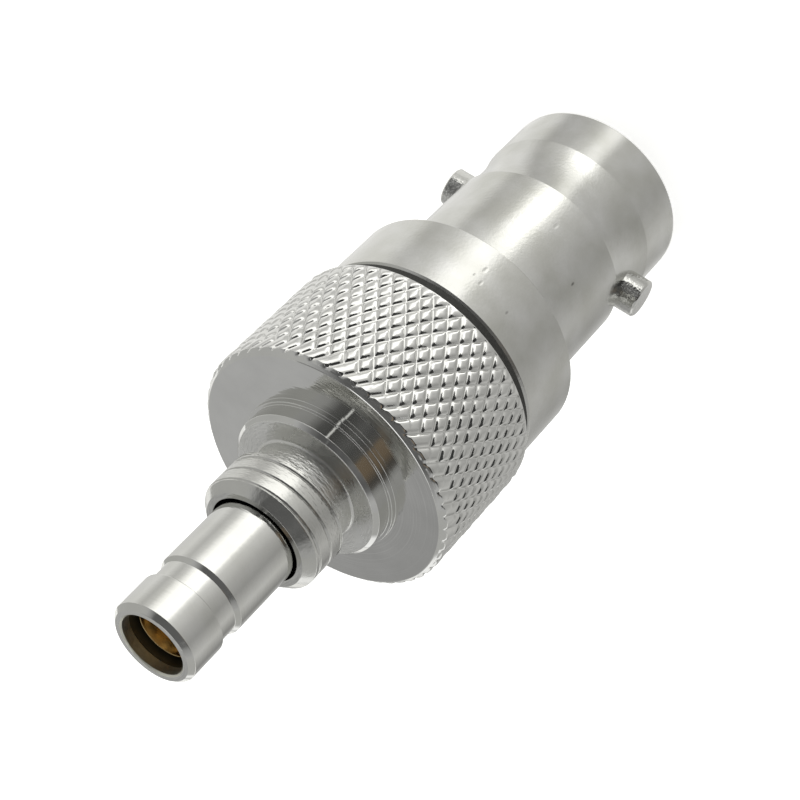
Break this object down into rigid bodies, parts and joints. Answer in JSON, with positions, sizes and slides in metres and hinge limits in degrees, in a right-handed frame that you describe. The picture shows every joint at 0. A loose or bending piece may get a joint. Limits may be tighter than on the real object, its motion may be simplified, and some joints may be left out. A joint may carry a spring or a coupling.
{
  "type": "coaxial adapter",
  "caption": "Turned coaxial adapter: a bayonet jack with side lugs at one end, a grooved push-in nose with a knurled, threaded coupling screw at the other.",
  "frame": {"origin": "centre of the jack's mouth, on the plane of its end face", "axes": "+Z along the axis from the jack's mouth to the nose, the two bayonet lugs on the X axis"},
  "size_m": [0.0132, 0.0132, 0.0353],
  "materials": {
    "satin_nickel": "satin nickel plate on turned brass",
    "polished_nickel": "polished nickel plate",
    "bright_nickel": "bright nickel plate on turned brass",
    "turned_nickel": "bright nickel plate, knurled and turned",
    "gold_plate": "gold plate",
    "white_resin": "white fluoropolymer, turned",
    "spring_wire": "drawn spring wire",
    "black_rubber": "matte black rubber"
  },
  "bodies": {
    "adapter": {"jack_shell": "satin_nickel", "bayonet_lug_right": "polished_nickel", "bayonet_lug_left": "polished_nickel", "jack_insulator": "white_resin", "insulator_washer": "white_resin", "jack_contact": "gold_plate", "plug_body": "bright_nickel", "contact_sleeve": "gold_plate", "plug_insulator": "white_resin", "plug_pin": "gold_plate", "retaining_ring": "spring_wire", "friction_washer": "black_rubber"},
    "screw": {"coupling_screw": "turned_nickel"}
  },
  "joints": [
    {"name": "screw_turn", "type": "hinge", "parent": "adapter", "child": "screw", "pos_m": [0, 0, 0.0199], "axis": [0, 0, 1], "continuous": true}
  ]
}
